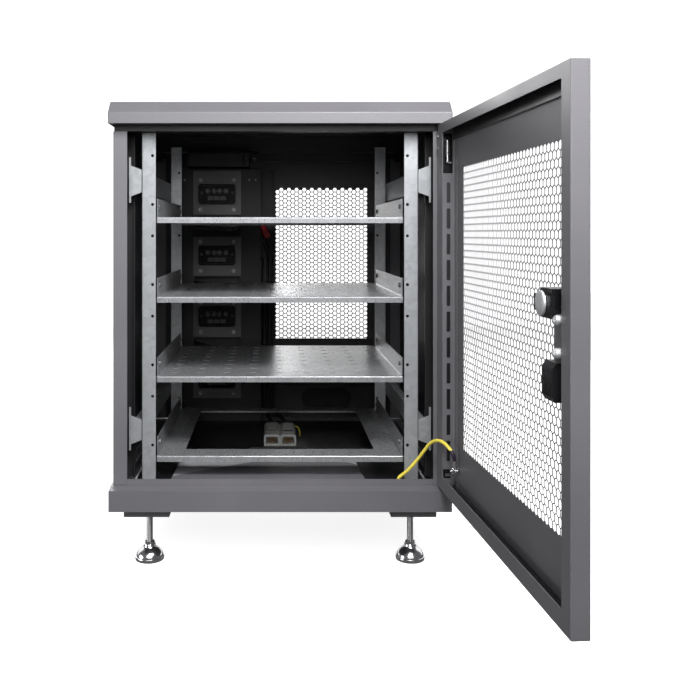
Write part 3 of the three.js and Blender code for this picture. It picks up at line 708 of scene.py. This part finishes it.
# ---- door: a perforated pan with lips turned in all round ----
def make_door_pan():
    def ring(inset, depth, radius):
        loop = rounded_rectangle(-DOOR_HALF + inset, DOOR_HALF - inset, DOOR_LOW + inset,
                                 DOOR_HIGH - inset, radius)
        return [(x, depth, z) for x, z in loop]

    inner = rounded_rectangle(DOOR_FREE_LIP - DOOR_HALF, DOOR_HALF - DOOR_SIDE_LIP,
                              DOOR_LOW + DOOR_BOTTOM_LIP, DOOR_HIGH - DOOR_TOP_LIP, 3)
    rings = [ring(3, DOOR_OUT, 0.8), ring(1.2, DOOR_OUT, 0.8), ring(0.5, DOOR_OUT + 0.2, 0.9),
             ring(0.1, DOOR_OUT + 0.7, 1), ring(0, DOOR_OUT + 1.4, 1), ring(0, DOOR_IN - 1.8, 1),
             ring(0.15, DOOR_IN - 0.9, 1), ring(0.6, DOOR_IN - 0.2, 1), ring(1.4, DOOR_IN, 1),
             [(x, DOOR_IN, z) for x, z in inner]]
    verts, faces = lofted(rings)
    pan = piece("door_pan_edge", verts, faces, DOOR, "door", PAINT)
    thicken(pan, DOOR_SHEET, 1)
    border = [(x, z) for x, _, z in rings[0]]
    holes = door_hexagons(-230, 209.5, 230, 716.5, DOOR_HOLE_PITCH, DOOR_HOLE_ACROSS)
    points, faces = plate(border, holes)
    sheet = piece("door_perforated_sheet", [(x, DOOR_OUT, z) for x, z in points], faces, DOOR, "door",
                  PAINT)
    thicken(sheet, 0.8, -1)
    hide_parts("door_panel")


def make_stile():
    web = DOOR_HALF - DOOR_SIDE_LIP - 1.9
    back = DOOR_OUT + 1.9
    section = bend_profile([(web - 15, back), (web, back), (web, DOOR_IN)], 1.8)
    low, high = DOOR_LOW + 1.9, DOOR_HIGH - 1.9
    web_from = flat_at(section, b=back + 3)
    reach = section[-1][0]

    def on_web(y):
        return flat_at(section, b=y, leg=-1)

    holes = []
    for step in range(11):
        z = 222 + step * 45.2
        holes.append(rounded_rectangle(on_web(SLOT_Y), on_web(SLOT_Y + 6.6), z - 17.85, z + 17.85, 2, 3))
    notches = [
        [(web_from, 708), (reach + 1, 708), (reach + 1, 778), (web_from, 778)],
        [(web_from + 3, 174), (reach + 1, 174), (reach + 1, 190), (web_from + 3, 190)],
        [(reach - 2, low - 1), (reach + 1, low - 1), (reach + 1, DOOR_LOW + DOOR_BOTTOM_LIP),
         (reach - 2, DOOR_LOW + DOOR_BOTTOM_LIP)],
        [(reach - 2, DOOR_HIGH - DOOR_TOP_LIP), (reach + 1, DOOR_HIGH - DOOR_TOP_LIP),
         (reach + 1, high + 1), (reach - 2, high + 1)],
    ]
    stile = folded("slotted_hinge_stile", section, (low, high), holes, DOOR, "door",
                   PAINT, lambda a, b, v: (a, b, v), 1.5, notches, 1)
    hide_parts("door_hinge_stile")


make_cap()
make_rear_panel()
for number in range(BAYS):
    make_shelf(number)
for rail_word, rail_side in (("left", -1), ("right", 1)):
    make_rail("front", rail_word, rail_side, 24, 786.2)
    make_rail("rear", rail_word, rail_side, 478, 805)
make_door_pan()
make_stile()


# ---- nodes whose CAD shape is right: they take an edge and a finish ----
def finish_node(node, material, edge=0.5):
    thing = frame["nodes"][node]
    thing.data.materials.clear()
    thing.data.materials.append(material)
    for face in thing.data.polygons:
        face.material_index = 0
    if edge:
        soften(thing, edge)


for node in ("left_side_panel", "right_side_panel", "base_rear_beam", "base_left_beam",
             "base_right_beam", "floor_pan"):
    finish_node(node, PAINT, 0.7)
finish_node("base_front_beam", PAINT, 1.9)


def second_finish(node, material, chosen):
    """Gives the chosen faces of a CAD node another finish."""
    mesh = frame["nodes"][node].data
    mesh.materials.append(material)
    for face in mesh.polygons:
        if chosen(face):
            face.material_index = len(mesh.materials) - 1


BEHIND_SILL = left_low.y + 0.1


def on_floor(face):
    """Whether a face of the floor pan lies well behind its front edge."""
    return face.center.y > BEHIND_SILL


second_finish("left_side_panel", DARK_PAINT, lambda face: face.normal.x > 0.9)
second_finish("right_side_panel", DARK_PAINT, lambda face: face.normal.x < -0.9)
# The floor pan's upward faces behind the sill take the lighter coat: painted light.
second_finish("floor_pan", FLOOR_PAINTED_LIGHT, lambda face: on_floor(face) and face.normal.z > 0.9)
# The floor pan's raised faces behind the sill take black painted shade.
second_finish("floor_pan", SHADE_BLACK, lambda face: on_floor(face) and face.center.z > (FLOOR_TOP + 1) * MM)
# The front top beam takes the near-black painted shade.
finish_node("front_top_beam", BEAM_SHADE_COAT, 0.6)
for node in ("front_left_post", "front_right_post"):
    finish_node(node, DARK_PAINT, 0.6)
finish_node("rear_top_beam", REAR_PAINT, 0.6)
for node in ("upper_left_side_beam", "upper_right_side_beam", "lower_left_side_beam",
             "lower_right_side_beam"):
    finish_node(node, ZINC, 0.4)
finish_node("connector_column", DARK_PAINT, 0.4)
finish_node("cable_entry_grommet", RUBBER, 0.8)
for node in ("lock_guide", "lock_case", "handle_plate", "swing_handle"):
    finish_node(node, BLACK_PLASTIC, 1.0)
finish_node("terminal_cover", REAR_PAINT, 0.8)
for node in [f"socket_plate_{n + 1}" for n in range(BAYS)]:
    finish_node(node, PLATE_COAT, 0.3)
for node in [f"socket_housing_{n + 1}" for n in range(BAYS)]:
    finish_node(node, HOUSING, 0.8)
finish_node("lock_bolt", PAINT, 0.6)
second_finish("lock_bolt", BLACK_PLASTIC, lambda face: face.center.z > 506 * MM)
for node in ("lock_cylinder", "hinge_pin_bottom"):
    finish_node(node, CHROME, 0.4)
for node in ("power_connector_left", "power_connector_right"):
    finish_node(node, GREY_PLASTIC, 0.8)


# ---- battery sockets: contacts and screws on each plate, and the cover over the terminals ----
SOCKET_X = -146
SOCKET_FIRST = 208.5
SOCKET_MIDDLE = 49


def make_socket(bay):
    low = SOCKET_FIRST + bay * BAY_PITCH
    middle = low + SOCKET_MIDDLE
    contacts = []
    pins = []
    for x in (-21.6, -6.4, 6.4, 21.6):
        contacts.append(lathe([(3.4, 0.8), (3.4, 7), (5.6, 7), (6, 6.4), (6, 0)],
                              (SOCKET_X + x, 510.6, middle + 7), (0, -1, 0), 24))
        pins.append(lathe([(1, 0), (1.9, 0), (1.9, 4.4), (1.2, 5.2)],
                          (SOCKET_X + x, 510.4, middle + 7), (0, -1, 0), 16))
    for x in (-15, 0, 15):
        contacts.append(block(SOCKET_X + x - 7, SOCKET_X + x + 7, 505, 510.6, middle - 15, middle - 5, 2))
        for step in range(3):
            for up in (-12.4, -7.6):
                pins.append(lathe([(0.4, 0), (0.8, 0), (0.8, 1.2), (0.4, 1.5)],
                                  (SOCKET_X + x - 4 + 4 * step, 505.1, middle + up), (0, -1, 0), 10))
    for x in (-37, 37):
        contacts.append(lathe([(2, 0), (3.6, 0), (3.6, 6), (2.2, 6.6)], (SOCKET_X + x, 510.6, middle + 3),
                              (0, -1, 0), 20))
    # The shrouds' lighter grey is a painted rim highlight.
    cluster(f"socket_{bay + 1}_shrouds", contacts, CABINET, "root", SHROUD_PAINTED_HIGHLIGHT)
    cluster(f"socket_{bay + 1}_pins", pins, CABINET, "root", PIN_METAL)
    heads = []
    for x in (-39.5, 39.5):
        for z in (-37, 33):
            heads.append(screw((SOCKET_X + x, 517.6, middle + z), (0, -1, 0), 3.4, 2.6))
            heads.append(washer((SOCKET_X + x, 517.7, middle + z), (0, -1, 0), 4.6, 0.7))
    cluster(f"socket_{bay + 1}_screws", heads, CABINET, "root", SCREW_ZINC)


def make_column_fittings():
    heads = [screw((x, 519.9, z), (0, -1, 0), 2.6, 1.8)
             for x, z in ((-68.8, 730.7), (-53.9, 730.7), (-223.8, 730.7), (-68.8, 175), (-223.8, 175))]
    heads.append(screw((-58, 540.9, 782), (0, -1, 0), 4.4, 3))
    cluster("column_screws", heads, CABINET, "root", SCREW_ZINC)
    strip = [block(-214, -46, 497.6, 499.8, 792.5, 797.5, 0.8),
             block(-214, -69, 498.6, 499.8, 761, 764, 0.6),
             block(-84, -81, 498.6, 499.8, 764, 792, 0.6)]
    cluster("terminal_cover_ribs", strip, CABINET, "root", BLACK_PLASTIC)
    corners = [block(x - 7.7, x + 7.7, 560, 571, 776, 812, 0.4) for x in (-292.2, 292.2)]
    cluster("rear_corner_gussets", corners, CABINET, "root", DARK_PAINT)
    ridge = [block(-290, 290, 564.9, 566.4, 776.6, 779.4, 0.8),
             block(-270, 270, 560, 562, 806, 812, 0.8)]
    cluster("rear_panel_creases", ridge, CABINET, "root", PLATE_COAT)
    baffle = rounded_rectangle(-22, 232, 231, 346, 4)
    points, faces = plate(baffle)
    cover = piece("rear_baffle", [(x, 565.2, z) for x, z in points], faces, CABINET, "root",
                  DARK_PAINT)
    thicken(cover, 1.2, 1)


def make_floor_shade_sheet():
    """A thin black sheet of painted shade on the floor, cut out round the raised seat and open at the
    front.
    """
    hole = rounded_rectangle(-61, 59, 224, 301, 2)
    outline = [(-262, 3), (-200, 3), (-196, 150), (150, 150), (156, 3), (262, 3), (262, 518),
               (-262, 518)]
    points, faces = plate(outline, [hole])
    shade_sheet = piece("floor_painted_shade", [(x, y, FLOOR_TOP + 0.05) for x, y in points], faces, CABINET, "root",
                  SHADE_BLACK)
    thicken(shade_sheet, 0.25, 1)


for socket_bay in range(BAYS):
    make_socket(socket_bay)
make_column_fittings()
make_floor_shade_sheet()


# ---- cables inside the cabinet ----
def make_cable(name, node, route, materials, split=None):
    """A cable along the CAD's route; below the height split it wears the second finish."""
    line = curve_points(route, 8)
    cable = swept(name, line, 4.5, CABINET, "root", materials, 20)
    if split:
        for face in cable.data.polygons:
            if face.center.z < split * MM:
                face.material_index = 1
    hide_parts(node)


make_cable("positive_lead", "positive_cable", [
    (-100, 540, 652), (-72, 540, 648), (-50, 541, 636), (-36, 543, 615), (-25, 544, 592),
    (-20, 545, 560), (-20, 545, 500), (-20, 545, 420), (-20, 545, 340), (-20, 545, 270),
    (-19, 543, 230), (-14, 532, 197), (-5, 508, 178), (5, 470, 174.5), (14, 420, 175.3),
    (18.7, 385, 175.5), (18.7, 346, 175.5)], [WIRE_RED, RUBBER], 600)
make_cable("negative_lead", "negative_cable", [
    (-100, 540, 505), (-78, 540, 502), (-58, 541, 492), (-43, 543, 474), (-35, 544, 450),
    (-33, 545, 420), (-33, 545, 340), (-33, 545, 270), (-33, 543, 230), (-32, 532, 197),
    (-28, 508, 178), (-23, 470, 174.5), (-17, 420, 175.3), (-14.7, 385, 175.5),
    (-14.7, 346, 175.5)], [RUBBER])


def make_loom():
    """Thin leads beside the main cables, the red boot, and the leads behind the column's windows."""
    for number, (x, wave) in enumerate(((-27, 1.5), (-14, 2.2), (-39, 1.2))):
        route = [(x - 60, 540, 620 - 20 * number), (x - 30, 541, 606 - 20 * number),
                 (x - 8, 544, 580 - 20 * number)]
        route += [(x + wave * math.sin(0.9 * step + number), 550 + wave * math.cos(step), 540 - 40 * step)
                  for step in range(9)]
        swept(f"signal_lead_{number + 1}", curve_points(route, 6), 2.4, CABINET, "root",
              RUBBER, 12)
    boot = curve_points([(-50, 541, 636), (-36, 543, 615), (-25, 544, 592)], 8)
    swept("positive_boot", boot[2:], lambda share: 9.2 - 1.4 * share + 0.35 * math.cos(30 * share),
          CABINET, "root", WIRE_RED, 24)
    for number in range(3):
        z = SOCKET_FIRST + number * BAY_PITCH + 120
        for step in range(2):
            route = [(-205, 538, z + 12 - 14 * step), (-170, 532, z + 4 - 8 * step),
                     (-130, 530, z - 4 - 3 * step), (-86, 536, z - 8 + 6 * step)]
            swept(f"window_lead_{number + 1}_{step + 1}", curve_points(route, 8), 3 - 0.6 * step, CABINET,
                  "root", BLACK_PLASTIC, 12)


CONNECTOR_PLACES = (-14.65, 18.65)


def make_contacts():
    """Blades inside the power connectors, and the earth lead beside them."""
    blades = []
    for x in CONNECTOR_PLACES:
        blades.append(block(x - 9, x + 9, 243, 266, 170.5, 172.5, 0.8))
        blades.append(block(x - 9, x + 9, 243, 266, 178.5, 180, 0.6))
    cluster("connector_blades", blades, CABINET, "root", COPPER)
    shells = []
    for x in CONNECTOR_PLACES:
        shells.append(lathe([(6, 0), (8.2, 0), (8.6, 1), (8.6, 11), (6.4, 14), (5.2, 22), (4.6, 22)],
                            (x, 344, 175.5), (0, 1, 0), 28))
        shells.append(block(x - 11, x + 11, 268, 342, 186.4, 188.4, 2))
    cluster("connector_shells", shells, CABINET, "root", GREY_PLASTIC)
    line = curve_points([(26, 366, 172), (31, 366, 175), (37, 366, 175), (43, 366, 172), (46, 366, 166),
                         (47, 366, 158), (47, 366, 154)], 6)
    swept("earth_pigtail", line, 1.4, CABINET, "root", WIRE_YELLOW, 14)


make_loom()
make_contacts()


# ---- fasteners on the shelves ----
def make_shelf_bolts():
    for bay in range(BAYS):
        z = SHELF_FIRST + bay * BAY_PITCH + 20
        shapes = []
        for side in (-1, 1):
            for y in (63, 417):
                start = (side * (SHELF_HALF - SHEET + 0.1), y, z)
                shapes.append(washer(start, (-side, 0, 0), 5.2, 0.8))
                shapes.append(nut(start, (-side, 0, 0), 7.4, 3.4))
        cluster(f"shelf_{bay + 1}_bolts", shapes, CABINET, "root", SCREW_ZINC)


make_shelf_bolts()


# ---- door fittings, drawn with the door closed ----
def make_door_fittings():
    inner = DOOR_OUT + DOOR_SHEET
    lip_heads = [screw((292, DOOR_IN, z), (0, 1, 0), 3.2, 2.2) for z in (775, 754)]
    domes = []
    for z in (503, 465):
        spot = (-263, inner, z)
        domes.append(lathe([(3, 0), (4.4, 0.2), (4.4, 17), (6, 17.4), (6.4, 20), (6.4, 23), (5.9, 25),
                            (4.9, 26.8), (3.4, 28.2), (1.2, 29)], spot, (0, 1, 0), 32))
    cluster("door_screws", lip_heads, DOOR, "door", SCREW_ZINC)
    cluster("domed_nuts", domes, DOOR, "door", SATIN)
    stud = (STUD_X, inner, STUD_Z)
    parts = [washer((STUD_X, -20.6, STUD_Z), (0, 1, 0), 6.6, 0.9),
             nut((STUD_X, -18.2, STUD_Z), (0, 1, 0), 10, 4.6),
             nut((STUD_X, inner + 0.1, STUD_Z), (0, 1, 0), 10, 3.6),
             lathe([(2, 0), (2.9, 0), (2.9, 14.4), (2.2, 15)], stud, (0, 1, 0), 20)]
    cluster("ground_stud", parts, DOOR, "door", CHROME)
    ring = circle(STUD_X, STUD_Z, 6.4, 28)
    points, faces = plate(ring, [circle(STUD_X, STUD_Z, 3.1, 20)])
    eye = [(x, -19.7, z) for x, z in points]
    barrel = lathe([(2.2, 0), (3.6, 0), (3.7, 8), (3.1, 10.5), (1.2, 12)], (233.1, -19, 211.5),
                   (0.1, -0.04, -1), 24)
    lug = cluster("ring_lug", [(eye, faces), barrel], DOOR, "door", CHROME)
    thicken(lug, 0.9, 0)
    # Black strips behind the slotted web: painted shade that makes the slots read dark.
    slot_shade_blocks = [block(264.2, 265.8, DOOR_OUT + 3, DOOR_IN - 2, 194, 706, 0.6),
             block(273, 274.6, DOOR_OUT + 3, DOOR_IN - 2, 700, 786, 0.6),
             block(273, 274.6, DOOR_OUT + 3, DOOR_IN - 2, 166, 196, 0.6)]
    cluster("stile_slot_painted_shade", slot_shade_blocks, DOOR, "door", SHADE_BLACK)
    # Black strips inside the top and bottom lips: painted shadow cast by the lips.
    lip_shadow_blocks = [block(-267, 261, inner, inner + 3, DOOR_HIGH - 31, DOOR_HIGH - 3, 0.8),
            block(-267, 261, inner, inner + 4, DOOR_LOW + 1.8, DOOR_LOW + 13, 0.8)]
    cluster("door_lip_painted_shadow", lip_shadow_blocks, DOOR, "door", SHADE_BLACK)
    trim = []
    for step in range(14):
        spot = (239, inner + 0.02, 250 + step * 34)
        trim.append(lathe([(0.4, 0), (2.3, 0), (1.8, 0.25), (0.4, 0.35)], spot, (0, 1, 0), 16))
    cluster("weld_marks", trim, DOOR, "door", PAINT)


def make_top_pin():
    pin = filleted([(HINGE_X, HINGE_Y, 804), (HINGE_X, HINGE_Y, 768.5), (LEVER_X, LEVER_Y, 768.5),
                    (LEVER_X, LEVER_Y, 727), (LEVER_X, -21.5, 726.5)], 3.2)
    rod = swept("hinge_pin_top_rod", pin, 2.6, DOOR, "hinge_pin_top", CHROME, 20)
    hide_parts("hinge_pin_top")
    coils = 9
    per_coil = 16
    steps = coils * per_coil
    line = []
    for i in range(steps + 1):
        angle = math.tau * i / per_coil
        line.append(Vector((LEVER_X + 3.5 * math.cos(angle), LEVER_Y + 3.5 * math.sin(angle),
                            739 + 24 * i / steps)))
    swept("hinge_pin_spring", line, 0.55, DOOR, "hinge_pin_top", BOLT_ZINC, 8)


def make_spindle():
    """The inside boss with a domed face, its shaft, and the hub under the handle."""
    centre = (LOCK_X, 0, LOCK_Z)
    boss = lathe([(6, 7.3), (14.4, 7.3), (15, 7.8), (15, 9.4), (14.5, 10.2), (13, 10.7), (8, 11),
                  (1, 11.1)], centre, (0, 1, 0), 48)
    shaft = lathe([(2, -36), (5, -36), (5, 8), (2, 8)], centre, (0, 1, 0), 28)
    hub = lathe([(4, -38), (9.4, -38), (10, -37.4), (10, -34.3), (4, -34.3)], centre, (0, 1, 0), 36)
    spindle = cluster("lock_boss", [boss, shaft, hub], DOOR, "lock_spindle", SATIN)
    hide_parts("lock_spindle")


make_door_fittings()
make_top_pin()
make_spindle()


# ---- levelling feet: turned pads and threaded studs ----
FOOT_X = 241
FOOT_FRONT = 48
FOOT_REAR = 502
THREAD_PITCH = 1.75
THREAD_LOW = 34.3
THREAD_HIGH = 128
RING_STEP = THREAD_PITCH / 4


def make_foot(end, word, x, y):
    pad = turned(f"{end}_{word}_pad", [
        (3, 0.1), (25.2, 0.1), (26.2, 0.8), (26.5, 2.4), (26.5, 5.6), (26.1, 6.6), (25, 7), (24.8, 8.4),
        (24, 11.4), (22, 15.2), (19.2, 18.4), (15.6, 21.2), (12.4, 23.4), (11.1, 25.4), (11, 28.6),
        (10.4, 29.5), (9.2, 29.9), (9.2, 33.3), (8.6, 34), (3, 34)],
        (x, y, 0), (0, 0, 1), CABINET, f"{end}_{word}_foot", "chrome", CHROME, 64)
    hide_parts(f"{end}_{word}_foot_pad")
    rings = []
    steps = 24
    for level in range(int((THREAD_HIGH - THREAD_LOW) / RING_STEP) + 1):
        z = THREAD_LOW + level * RING_STEP
        ring = []
        for i in range(steps):
            wave = (z / THREAD_PITCH - i / steps) % 1
            radius = 5.35 + 0.5 * (1 - abs(2 * wave - 1))
            ring.append((x + radius * math.cos(math.tau * i / steps),
                         y + radius * math.sin(math.tau * i / steps), z))
        rings.append(ring)
    verts, faces = lofted(rings, True, True)
    stud = piece(f"{end}_{word}_threaded_stud", verts, faces, CABINET, f"{end}_{word}_stud",
                 BOLT_ZINC, True)
    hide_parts(f"{end}_{word}_foot_stud")


for foot_end, foot_y in (("front", FOOT_FRONT), ("rear", FOOT_REAR)):
    for foot_word, foot_x in (("left", -FOOT_X), ("right", FOOT_X)):
        make_foot(foot_end, foot_word, foot_x, foot_y)


# ---- floor, surroundings and lights ----
SURROUND = 0.12
FLOOR_GLOW = 0.8
OVERHEAD_POWER = 34
FRONT_POWER = 38
SIDE_POWER = 8
REAR_POWER = 34
BACKDROP_GLOW = 1.05


def stage_sheet(name, corners, glow, glossy):
    """A large pale sheet; glow is how much light it gives off, glossy whether metal mirrors it."""
    material, tree, shader = new_material(name, (0.9, 0.9, 0.9), 0, 0.7)
    grain = place_texture(tree, "ShaderNodeTexNoise", 3, detail=2)
    vary_colour(tree, grain.outputs["Fac"], (0.9, 0.9, 0.9), (0.92, 0.92, 0.92),
                shader.inputs["Base Color"])
    shader.inputs["Emission Color"].default_value = (1, 1, 1, 1)
    shader.inputs["Emission Strength"].default_value = glow
    mesh = bpy.data.meshes.new(name)
    mesh.from_pydata(corners, [], [(0, 1, 2, 3)])
    mesh.materials.append(material)
    sheet = bpy.data.objects.new(name, mesh)
    bpy.context.scene.collection.objects.link(sheet)
    sheet.visible_diffuse = False
    sheet.visible_glossy = glossy


def area_light(name, place, aim, wide, high, power):
    light = bpy.data.objects.new(name, bpy.data.lights.new(name, "AREA"))
    bpy.context.scene.collection.objects.link(light)
    light.location = CABINET @ Vector(place)
    light.rotation_euler = (CABINET @ Vector(aim) - light.location).to_track_quat("-Z", "Y").to_euler()
    light.data.shape = "RECTANGLE"
    light.data.size = wide
    light.data.size_y = high
    light.data.energy = power


def make_studio():
    scene = bpy.context.scene
    scene.view_settings.view_transform = "Standard"
    far = 9
    stage_sheet("studio_floor", [(-far, -far, -0.0005), (far, -far, -0.0005), (far, far, -0.0005),
                                 (-far, far, -0.0005)], FLOOR_GLOW, False)
    stage_sheet("studio_backdrop", [(-far, 4, -0.01), (far, 4, -0.01), (far, 4, far), (-far, 4, far)],
                BACKDROP_GLOW, True)
    world = bpy.data.worlds.new("studio")
    scene.world = world
    world.use_nodes = True
    world.node_tree.nodes["Background"].inputs["Color"].default_value = (1, 1, 1, 1)
    world.node_tree.nodes["Background"].inputs["Strength"].default_value = SURROUND
    area_light("overhead", (300, -1000, 1500), (50, -50, 500), 0.7, 0.5, OVERHEAD_POWER)
    area_light("front", (0, -2600, 1500), (0, 0, 600), 2.2, 1.4, FRONT_POWER)
    area_light("rear", (-700, 3000, 1500), (0, 500, 500), 1.8, 1.2, REAR_POWER)
    area_light("side", (-1600, -450, 250), (300, -300, 250), 0.8, 0.5, SIDE_POWER)


make_studio()
